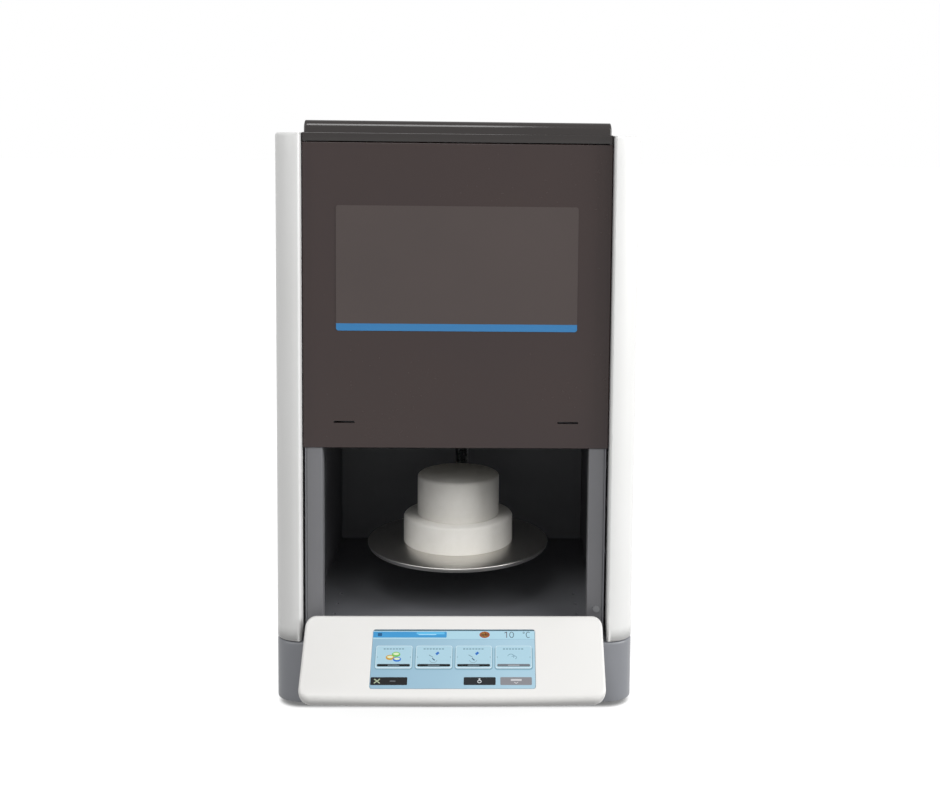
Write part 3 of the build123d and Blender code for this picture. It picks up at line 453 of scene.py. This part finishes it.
crown = surface("top_cover_pressing", [np.array(rings)] + lids, crown_coat, "housing", inside=(0, 200, 560))
walled(crown, 1.5)
flat_shading = crown.modifiers.new("flat lid", "WEIGHTED_NORMAL")
flat_shading.keep_sharp = True
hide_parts("top_cover")

# ---------------------------------------------------------------------
# Back: a white coated sheet with grille and vents, held by pan head
# screws, with the fan behind it, the mains inlet and the power switch.
# ---------------------------------------------------------------------
dress(white_coat, "back_panel", edge=0.2)
dress(black_moulding, "mains_inlet", "switch_housing", edge=0.4)
rocker_black = finish("polished_black_nylon", "#1c1c1f", "#161618", 12, 0.8, 0.004, (0.16, 0.26))
dress(rocker_black, "switch_rocker", edge=0.5)


def screw_head(x, z):
    """A domed head whose height falls with the distance from its axis, with a cross pressed into it
    that gets shallower outwards."""
    radii = [0.0, 0.4, 0.8, 1.2, 1.6, 2.0, 2.4, 2.8, 3.4, 4.0, 4.35, 4.5, 4.5]
    r, turn = np.meshgrid(radii, np.linspace(0, 2 * np.pi, 49), indexing="ij")
    turn[:, -1] = 0
    out = 2.9 * np.sqrt(np.clip(1 - (r / 4.6) ** 2, 0, 1))
    out[-1] = 0
    arm = np.minimum(abs(np.cos(turn)), abs(np.sin(turn))) * r
    out -= 1.6 * np.clip((2.7 - r) / 1.2, 0, 1) * np.clip((0.75 - arm) / 0.3, 0, 1)
    return np.stack([x + r * np.cos(turn), BACK + out, z + r * np.sin(turn)], -1)


heads = [screw_head(s * 154, z) for s in (-1, 1) for z in (14, 190, 365, 540)]
screws = surface("pan_head_screws", heads, bright_steel, "housing", sharp=40, capped=True)
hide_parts("panel_screws")

# ---------------------------------------------------------------------
# Console: one white ABS moulding, a wedge with soft edges whose lip
# turns under at the front. It is screwed to the base from behind.
# ---------------------------------------------------------------------
TILT = math.radians(46.6)
EDGE = np.array([0, -16.0, 94.3])           # the middle of the sloping face's upper edge
DOWN = np.array([0, -math.sin(TILT), -math.cos(TILT)])
DEEP = np.array([0, math.cos(TILT), -math.sin(TILT)])
SLANT, CONSOLE_HALF, CONSOLE_LOW = 83.0, 143.6, 14.0
LIP = np.array([0, 6.0, -8.6])              # from the face's lower edge to the lip's end
BOW = 2.0                                   # how far the lower edge rises from its middle to its ends
TOP_FALL = 2.6                              # how far the top falls away behind the face's upper edge
WINDOW = (155.6, 58.4, 12.8)                # across, down, and how far down the face it starts


def on_face(across, down, deep):
    """Points at that distance across and down the console's sloping face and below it."""
    across, down, deep = np.broadcast_arrays(np.asarray(across, float), down, deep)
    return EDGE + across[..., None] * (1, 0, 0) + down[..., None] * DOWN + deep[..., None] * DEEP


def rounded_loop(half_w, top, bottom, r_top, r_bottom, per_side=(40, 14), per_corner=8):
    """A closed loop of (across, down): a rectangle with rounded corners, the same count of points
    whatever its size."""
    corners = [(1, -1, half_w, top, r_top), (1, 1, half_w, bottom, r_bottom),
               (-1, 1, half_w, bottom, r_bottom), (-1, -1, half_w, top, r_top)]
    loop = []
    for k, (sx, sd, w, d, r) in enumerate(corners):
        turn = np.radians(90 * k - 90 + np.linspace(0, 90, per_corner + 1))
        arc = np.stack([sx * (w - r) + r * np.cos(turn), d - sd * r + r * np.sin(turn)], -1)
        nx, nd, w2, d2, r2 = corners[(k + 1) % 4]
        first = math.radians(90 * k)
        end = np.array([nx * (w2 - r2) + r2 * math.cos(first), d2 - nd * r2 + r2 * math.sin(first)])
        t = np.linspace(0, 1, per_side[1 - k % 2] + 1)[1:-1, None]
        loop.append(np.concatenate([arc, arc[-1] * (1 - t) + end * t]))
    loop = np.concatenate(loop)
    return np.concatenate([loop, loop[:1]])


def bowed(loop):
    """The lower part of a loop drawn up towards its ends, as the square of the distance across."""
    low = np.clip(loop[:, 1] / SLANT, 0, 1) ** 4
    return loop - np.column_stack([0 * low, BOW * low * (loop[:, 0] / CONSOLE_HALF) ** 2])


loops = []
w_half, w_top, w_bottom = WINDOW[0] / 2, WINDOW[2], WINDOW[2] + WINDOW[1]
for grow, deep in ((0, 2.4), (0, 0.45), (0.07, 0.2), (0.22, 0.05), (0.45, 0.0), (0.9, 0.0)):
    loop = rounded_loop(w_half + grow, w_top - grow, w_bottom + grow, 2.5 + grow, 2.5 + grow)
    loops.append(on_face(loop[:, 0], loop[:, 1], deep))
SOFT = np.array([2.0, 2.4, 6.5])            # radii of the face's edge: at its top, its sides and its lip
turns = np.array([math.pi / 2 - TILT, math.pi / 2, math.radians(81.5)])   # how far each of them bends
BLEND = 8.0                                 # the length in which one bend passes into the next
for share in np.linspace(0, 1, 7):
    out = SOFT * (np.sin(share * turns) - np.tan(turns / 2))
    deep = SOFT * (1 - np.cos(share * turns))
    loop = rounded_loop(CONSOLE_HALF + out[1], -out[0], SLANT + out[2], 10 + out[1], 11 + out[2] / 2)
    high = np.clip(1 - (loop[:, 1] + out[0]) / BLEND, 0, 1)
    low = np.clip(1 - (SLANT + out[2] - loop[:, 1]) / BLEND, 0, 1)
    loop = bowed(loop)
    sunk = deep[1] + (deep[0] - deep[1]) * high + (deep[2] - deep[1]) * low
    loops.append(on_face(loop[:, 0], loop[:, 1], sunk))
edge_loop = loops[-1]
FACE_FALL = SLANT * math.cos(TILT)          # the face's height
share = np.clip((EDGE[2] - edge_loop[:, 2]) / FACE_FALL, 0, 1)[:, None]
lip_share = np.clip((share - 0.3) / 0.6, 0, 1) ** 2
flat_lip = LIP * (1 - SOFT[2] * math.tan(turns[2] / 2) / np.linalg.norm(LIP))
lip_loop = edge_loop + flat_lip * lip_share + (0, 1.5, 0) * (1 - lip_share)
back_loop = edge_loop.copy()
back_loop[:, 1] = FRONT
share = share[:, 0]
back_loop[:, 2] = EDGE[2] - (share * FACE_FALL + share ** 4 * (EDGE[2] - CONSOLE_LOW - FACE_FALL))
back_loop[:, 2] = np.minimum(back_loop[:, 2], edge_loop[:, 2] - TOP_FALL)
under = lip_loop * 0.95 + back_loop * 0.05
above = lip_loop * 0.45 + edge_loop * 0.55
for t in np.linspace(0, 1, 7):
    loops.append((1 - t) ** 2 * above + 2 * t * (1 - t) * lip_loop + t ** 2 * under)
for t in (0.2, 0.4, 0.7, 1.0):
    loops.append(under * (1 - t) + back_loop * t)
console_white = finish("moulded_abs_white", "#eae9e7", "#e4e3e0", 80, 0.5, 0.006, (0.34, 0.46))
console = surface("console_moulding", [np.array(loops)], console_white, "housing",
                  inside=(0, -20, 50), sharp=28)
walled(console, 2.2)
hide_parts("console_housing")

# ---------------------------------------------------------------------
# Screen: a touch panel let into the face. What it shows is a lit layer
# just under its glass, here drawn as flat shapes without any words.
# ---------------------------------------------------------------------
glass, glass_shader = new_paint("display_glass", Specular_IOR_Level=0.35, Roughness=0.08)
place = add(glass, "TexCoord").outputs["Object"]
across_face = add(glass, "SeparateXYZ", {}, {0: place}).outputs["X"]
# The glass's blue lightens from left to right across the face: a painted sheen, the studio's reflection put
# into the colour, with soft random haze laid over it.
both_ends = {"From Min": -80 * MM, "From Max": 80 * MM}
painted_sheen = add(glass, "MapRange", both_ends, {"Value": across_face}).outputs[0]
haze = add(glass, "TexNoise", {"Scale": 1 / (40 * MM), "Detail": 1.0}, {"Vector": place}).outputs["Fac"]
painted_sheen = add(glass, "Math", {"operation": "MULTIPLY_ADD", 1: 0.25}, {0: haze, 2: painted_sheen}).outputs[0]
blues = {"data_type": "RGBA", 6: linear("#8fb4ca"), 7: linear("#a9cbdc")}
join(glass, glass_shader, {"Base Color": add(glass, "Mix", blues, {0: painted_sheen}).outputs[2]})
dress(glass, "screen_glass")

shapes = []


def bar(x0, x1, d0, d1, colour, layer, r=0.0):
    """A rectangle with rounded corners on the screen, in millimetres across and down the face."""
    turn = np.linspace(0, 2 * np.pi, 24, endpoint=False) + np.pi / 24
    corner_x = np.where(np.cos(turn) > 0, x1 - r, x0 + r)
    corner_d = np.where(np.sin(turn) > 0, d1 - r, d0 + r)
    outline = np.stack([corner_x + r * np.cos(turn), corner_d + r * np.sin(turn)], -1)
    shapes.append((outline, colour, layer))


def arc(x, d, r_x, r_d, width, colour, layer, first=0, last=360):
    """A band of that width bent round x, d, from one angle to another, drawn as short pieces."""
    turn = np.radians(np.linspace(first, last, 25))
    rim = np.stack([np.cos(turn), np.sin(turn)], -1)
    outer_rim = (x, d) + rim * (r_x, r_d)
    inner_rim = (x, d) + rim * (r_x - width, r_d - width)
    for k in range(24):
        quad = np.array([outer_rim[k], outer_rim[k + 1], inner_rim[k + 1], inner_rim[k]])
        shapes.append((quad, colour, layer))


def stroke(x0, d0, x1, d1, width, colour, layer):
    """A straight line of that width from one point to another."""
    a, b = np.array((x0, d0)), np.array((x1, d1))
    side = (b - a)[::-1] * (-1, 1) / np.linalg.norm(b - a) * width / 2
    shapes.append((np.array([a + side, b + side, b - side, a - side]), colour, layer))


LEFT, RIGHT = -WINDOW[0] / 2 + 0.4, WINDOW[0] / 2 - 0.4
TOP = WINDOW[2] + 0.4
bar(LEFT, RIGHT, TOP, TOP + 1.1, "#3b5563", 1)                       # painted shade: a dark strip along the top edge for the recess's shaded upper wall
bar(LEFT, RIGHT, TOP + 1.1, TOP + 9.6, "#add3e2", 1)                 # heading
bar(LEFT, RIGHT, TOP + 9.3, TOP + 9.6, "#8fb6c9", 2)
bar(LEFT, -7.0, TOP + 1.9, TOP + 7.8, "#3f97cf", 2, 0.9)
bar(-36, -9.0, TOP + 2.4, TOP + 4.6, "#62bdea", 3, 0.9)
bar(-73, -69, TOP + 3.2, TOP + 6.4, "#1d5a86", 3, 0.5)
bar(-34, -17, TOP + 4.4, TOP + 5.2, "#a6dbf5", 4, 0.3)
for r, colour in ((5.0, "#a3502d"), (3.6, "#d9b25a")):
    arc(29.4, TOP + 4.9, r, r * 0.66, r * 0.62, colour, 2)
stroke(26, TOP + 5.2, 33, TOP + 5.2, 1.3, "#5b3622", 3)
INK = "#4d5b66"
stroke(50.6, TOP + 2.0, 50.6, TOP + 8.0, 0.7, "#5f4658", 2)          # the digit 1
stroke(50.6, TOP + 2.1, 48.6, TOP + 3.2, 0.7, INK, 2)
arc(55.4, TOP + 5.0, 2.2, 3.1, 0.6, INK, 2)                          # the digit 0
arc(67.0, TOP + 2.8, 0.9, 0.9, 0.45, INK, 2)                         # degrees Celsius
arc(71.4, TOP + 5.0, 2.3, 3.1, 0.6, INK, 2, 50, 310)
CARD_HALF, CARD_TOP, CARD_LOW = 17.2, 29.2, 51.6
for k, middle in enumerate((-56.4, -18.4, 19.3, 57.2)):              # four cards, the last one greyed
    x0, x1, d0, d1 = middle - CARD_HALF, middle + CARD_HALF, CARD_TOP, CARD_LOW
    for spread, colour in ((1.3, "#94b8c9"), (0.8, "#86acbe"), (0.4, "#7aa1b4")):
        bar(x0 - spread, x1 + spread, d0 + 0.6, d1 + spread + 0.4, colour, 1 + (1.3 - spread), 2.0 + spread)
    bar(x0, x1, d0, d1, "#d3e6ee", 3, 2.0)
    bar(x0 + 0.5, x1 - 0.5, d0 + 0.4, d1 - 1.0, "#accfde", 4, 1.7)
    bar(x0 + 1.6, x1 - 1.6, d1 - 4.4, d1 - 1.9, "#11161a" if k < 3 else "#6f747b", 5, 1.2)
    bar(middle - 5.5, middle + 5.5, d1 - 3.6, d1 - 2.8, "#74838c" if k < 3 else "#a9adb2", 6, 0.3)
    for j in range(7):
        bar(middle - 10.2 + 2.9 * j, middle - 8.2 + 2.9 * j, d0 + 2.7, d0 + 3.7, "#6f8f9e", 5, 0.2)
    for side in (-1, 1):
        stroke(middle + side * 15.6, d0 + 10.5, middle + side * 15.6, d0 + 12.0, 0.5, "#7fa0ae", 5)
green, amber, blue = (2.0, 8.6, 4.0, "#74c05c"), (-3.6, 11.6, 4.1, "#c99a35"), (3.0, 13.4, 3.9, "#2f76cf")
for x, d, r, colour in (green, amber, blue):                         # discs in the first card
    arc(x - 56.4, d0 + d, r, r * 0.62, r * 0.62, colour, 5 + x * 0.01)
    arc(x - 56.4, d0 + d - 0.5, r * 0.7, r * 0.3, r * 0.3, "#dfe9c0", 6)
for middle in (-18.4, 19.3):
    stroke(middle + 1.8, d0 + 8.6, middle + 4.4, d0 + 6.6, 2.2, "#2b6fc4", 5)
    stroke(middle - 5.0, d0 + 9.0, middle - 1.0, d0 + 11.4, 0.6, "#6f8d9b", 5)
    stroke(middle - 1.6, d0 + 12.4, middle + 0.8, d0 + 14.4, 0.9, "#274b6b", 5)
    arc(middle - 0.6, d0 + 13.6, 3.8, 3.4, 0.5, "#8fa9b5", 5, 10, 170)
arc(54.6, d0 + 10.4, 3.2, 2.4, 0.5, "#6f92a6", 5, 180, 400)
arc(57.6, d0 + 11.6, 2.6, 1.8, 0.5, "#6f92a6", 5, 200, 420)
PALE = "#c9c9cc"
for x0, x1, colour in ((-77.0, -42.6, "#141517"), (10.2, 40.2, "#1c2024"), (44.6, 74.2, "#88888d")):   # keys
    bar(x0, x1, 60.0, 67.6, colour, 2, 1.0)
stroke(-73.6, 61.8, -68.2, 65.8, 1.0, "#a9b79b", 3)
stroke(-73.6, 65.8, -68.2, 61.8, 1.0, "#a9b79b", 4)
bar(-59.0, -53.6, 63.2, 64.4, "#5d6266", 3, 0.3)
arc(25.0, 64.2, 2.0, 1.5, 0.7, "#c9ced1", 3)
stroke(25.0, 61.2, 25.0, 62.6, 1.6, "#c9ced1", 3)
bar(54.4, 64.6, 61.8, 63.6, PALE, 3, 0.3)
stroke(57.6, 64.8, 59.4, 66.0, 0.7, PALE, 3)
stroke(59.4, 66.0, 61.2, 64.8, 0.7, PALE, 4)

GLASS_SINK = 0.3                            # how far the glass lies below the face
picture = bpy.data.meshes.new("screen_picture")
points, faces, tints = [], [], []
for outline, colour, layer in shapes:
    faces.append(list(range(len(points), len(points) + len(outline))))
    points.extend(put(on_face(outline[:, 0], outline[:, 1], GLASS_SINK - 0.02 - 0.01 * layer)).tolist())
    tints.extend([linear(colour)] * len(outline))
picture.from_pydata(points, [], faces)
picture.attributes.new("tint", "FLOAT_COLOR", "POINT").data.foreach_set("color", np.ravel(tints))
lit, lit_shader = new_paint("lit_display_layer", Specular_IOR_Level=0.3, Roughness=0.1,
                            Emission_Strength=0.04)
tint = add(lit, "Attribute", {"attribute_name": "tint"}).outputs["Color"]
place = add(lit, "TexCoord").outputs["Object"]
CELL = 0.4                                  # coarser than real picture cells, so that they show
cells = add(lit, "TexNoise", {"Scale": 1 / (CELL * MM), "Detail": 0.0}, {"Vector": place}).outputs["Fac"]
level = add(lit, "MapRange", {"To Min": 0.94, "To Max": 1.0}, {"Value": cells}).outputs[0]
shown = add(lit, "VectorMath", {"operation": "SCALE"}, {0: tint, "Scale": level}).outputs[0]
join(lit, lit_shader, {"Base Color": shown, "Emission Color": shown})
screen_picture = bpy.data.objects.new("screen_picture", picture)
bpy.context.scene.collection.objects.link(screen_picture)
picture.materials.append(lit)
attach(screen_picture, "housing")

# ---------------------------------------------------------------------
# Table: a satin stainless disc with a rolled rim on an aluminium hub,
# and the two fibre blocks of the hearth that it lifts into the chamber.
# ---------------------------------------------------------------------
HEARTH_Y, DISC_TOP, DISC_LOW, DISC_R = 107.0, 132.5, 130.0, 95.6
BLOCK_STEP, BLOCK_TOP = 161.2, 203.8
brushed, brushed_shader = new_paint("brushed_stainless", Metallic=1.0)
place = add(brushed, "TexCoord").outputs["Object"]
centred = add(brushed, "Mapping", {"Location": (0, -(HEARTH_Y + PANEL_Y) * MM, 0)}, {"Vector": place})
level = add(brushed, "VectorMath", {"operation": "MULTIPLY", 1: (1, 1, 0)}, {0: centred.outputs[0]})
radius = add(brushed, "VectorMath", {"operation": "LENGTH"}, {0: level.outputs[0]}).outputs["Value"]
RING = 0.625                                # turning marks, drawn coarse enough to show
turning = {"noise_dimensions": "1D", "Scale": 1 / (RING * MM), "Detail": 3.0}
rings = add(brushed, "TexNoise", turning, {"W": radius}).outputs["Fac"]
rough = add(brushed, "MapRange", {"To Min": 0.26, "To Max": 0.42}, {"Value": rings}).outputs[0]
ridge = add(brushed, "Bump", {"Strength": 0.5, "Distance": 0.02 * MM}, {"Height": rings}).outputs[0]
steels = {"data_type": "RGBA", 6: linear("#cdcbc7"), 7: linear("#e1dfdb")}
steel_tone = add(brushed, "Mix", steels, {0: rings}).outputs[2]
join(brushed, brushed_shader, {"Base Color": steel_tone, "Roughness": rough, "Normal": ridge})
rim = [(DISC_R, DISC_TOP), (DISC_R, 131.8), (94.4, 129.2), (93.6, 127.6), (91.5, DISC_LOW)]
disc_profile = softened([(0, DISC_TOP)] + rim + [(0, DISC_LOW)], (0.4, 0.3, 0.5, 0.4, 1.0))
disc = surface("table_disc_turned", [turned(disc_profile, 0, HEARTH_Y, 128)], brushed, "lift", sharp=50)
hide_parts("table_disc")

hearth_fibre = finish("hearth_fibre", "#ebe9e4", "#e2dfd8", 10, 1.0, 0.15, (0.85, 1.0))
blocks = ("hearth_lower", 57.5, DISC_TOP, BLOCK_STEP), ("hearth_upper", 43.1, BLOCK_STEP, BLOCK_TOP)
for node, r, z0, z1 in blocks:
    profile = softened([(0, z0), (r, z0), (r, z1), (0, z1)], (0.6, 2.4))
    block = surface(node + "_block", [turned(profile, 0, HEARTH_Y, 96)], hearth_fibre, "lift")
    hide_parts(node)

# ---------------------------------------------------------------------
# Stage: a pale floor that keeps the shadow, soft studio lamps, camera.
# ---------------------------------------------------------------------
def not_lighting(paint):
    """1 where the camera sees a surface, straight or in a mirror or glass, and 0 where it lights others."""
    ray = add(paint, "LightPath").outputs
    seen = add(paint, "Math", {"operation": "MAXIMUM"}, {0: ray["Is Camera Ray"], 1: ray["Is Glossy Ray"]})
    both = {0: seen.outputs[0], 1: ray["Is Transmission Ray"]}
    return add(paint, "Math", {"operation": "MAXIMUM"}, both).outputs[0]


floor_paint, floor_shader = new_paint("studio_floor", Roughness=0.9)
floor_shader.inputs["Base Color"].default_value = linear("#747474")
floor_shader.inputs["Emission Color"].default_value = (1, 1, 1, 1)
# The floor's white glow fades where ambient occlusion finds the object close: a painted contact shadow, on
# top of the real shadow that the floor's diffuse colour keeps.
nearby = add(floor_paint, "AmbientOcclusion", {"samples": 16, "Distance": 10 * MM}).outputs["AO"]
open_sky = add(floor_paint, "MapRange", {**MIDDLE, "To Max": 0.96}, {"Value": nearby}).outputs[0]
strength = add(floor_paint, "Math", {"operation": "MULTIPLY"}, {0: not_lighting(floor_paint), 1: open_sky})
join(floor_paint, floor_shader, {"Emission Strength": strength.outputs[0]})
ground = bpy.data.meshes.new("studio_floor")
ground.from_pydata([(x, y, 0) for x, y in ((-30, -30), (30, -30), (30, 30), (-30, 30))], [], [(0, 1, 2, 3)])
ground.materials.append(floor_paint)
studio_floor = bpy.data.objects.new("studio_floor", ground)
bpy.context.scene.collection.objects.link(studio_floor)

world = bpy.data.worlds.new("studio")
bpy.context.scene.world = world
world.use_nodes = True
backdrop = world.node_tree.nodes["Background"]
level = add(world, "MapRange", {"To Min": 0.33, "To Max": 1.0}, {"Value": not_lighting(world)})
backdrop.inputs["Color"].default_value = (1, 1, 1, 1)
join(world, backdrop, {"Strength": level.outputs[0]})


def lamp(name, place, size, power):
    """A soft box: a square area lamp at place, facing the object's middle."""
    data = bpy.data.lights.new(name, "AREA")
    data.size = size
    data.energy = power
    thing = bpy.data.objects.new(name, data)
    bpy.context.scene.collection.objects.link(thing)
    thing.location = place
    thing.rotation_euler = (Vector((0, 0, 0.3)) - Vector(place)).to_track_quat("-Z", "Y").to_euler()


lamp("key", (-0.2, -1.5, 1.9), 0.6, 7.5)
lamp("left", (-1.2, -1.5, 1.7), 0.8, 4.5)
lamp("right", (1.3, -1.5, 1.7), 0.8, 11.5)
lamp("side", (2.0, -0.9, 0.9), 0.9, 32)
lamp("fill", (-1.7, -1.4, 1.0), 0.9, 8)

PLACE = (0.030869, -1.358910, 0.554182)     # the camera's place, in m, and its turn, tilt and lean
yaw, pitch, roll = 0.027163, 0.087704, -0.011331
ahead = np.array([math.sin(yaw) * math.cos(pitch), math.cos(yaw) * math.cos(pitch), -math.sin(pitch)])
right = np.array([math.cos(yaw), -math.sin(yaw), 0])
below = np.cross(ahead, right)
across = math.cos(roll) * right + math.sin(roll) * below
below = -math.sin(roll) * right + math.cos(roll) * below
WIDE, HIGH = 940, 788                       # the picture, in px
FOCAL = 1248.227                            # the focal length, in px
CENTRE = (523.343, 251.922)                 # where the lens's axis meets the picture
lens = bpy.data.cameras.new("camera")
lens.sensor_width = 36
lens.lens = FOCAL / WIDE * lens.sensor_width
lens.shift_x = (WIDE / 2 - CENTRE[0]) / WIDE
lens.shift_y = (CENTRE[1] - HIGH / 2) / WIDE
camera = bpy.data.objects.new("camera", lens)
bpy.context.scene.collection.objects.link(camera)
turn = Matrix(np.column_stack([across, -below, -ahead]).tolist())
camera.matrix_world = Matrix.Translation(PLACE) @ turn.to_4x4()
bpy.context.scene.camera = camera
bpy.context.scene.view_settings.view_transform = "Standard"
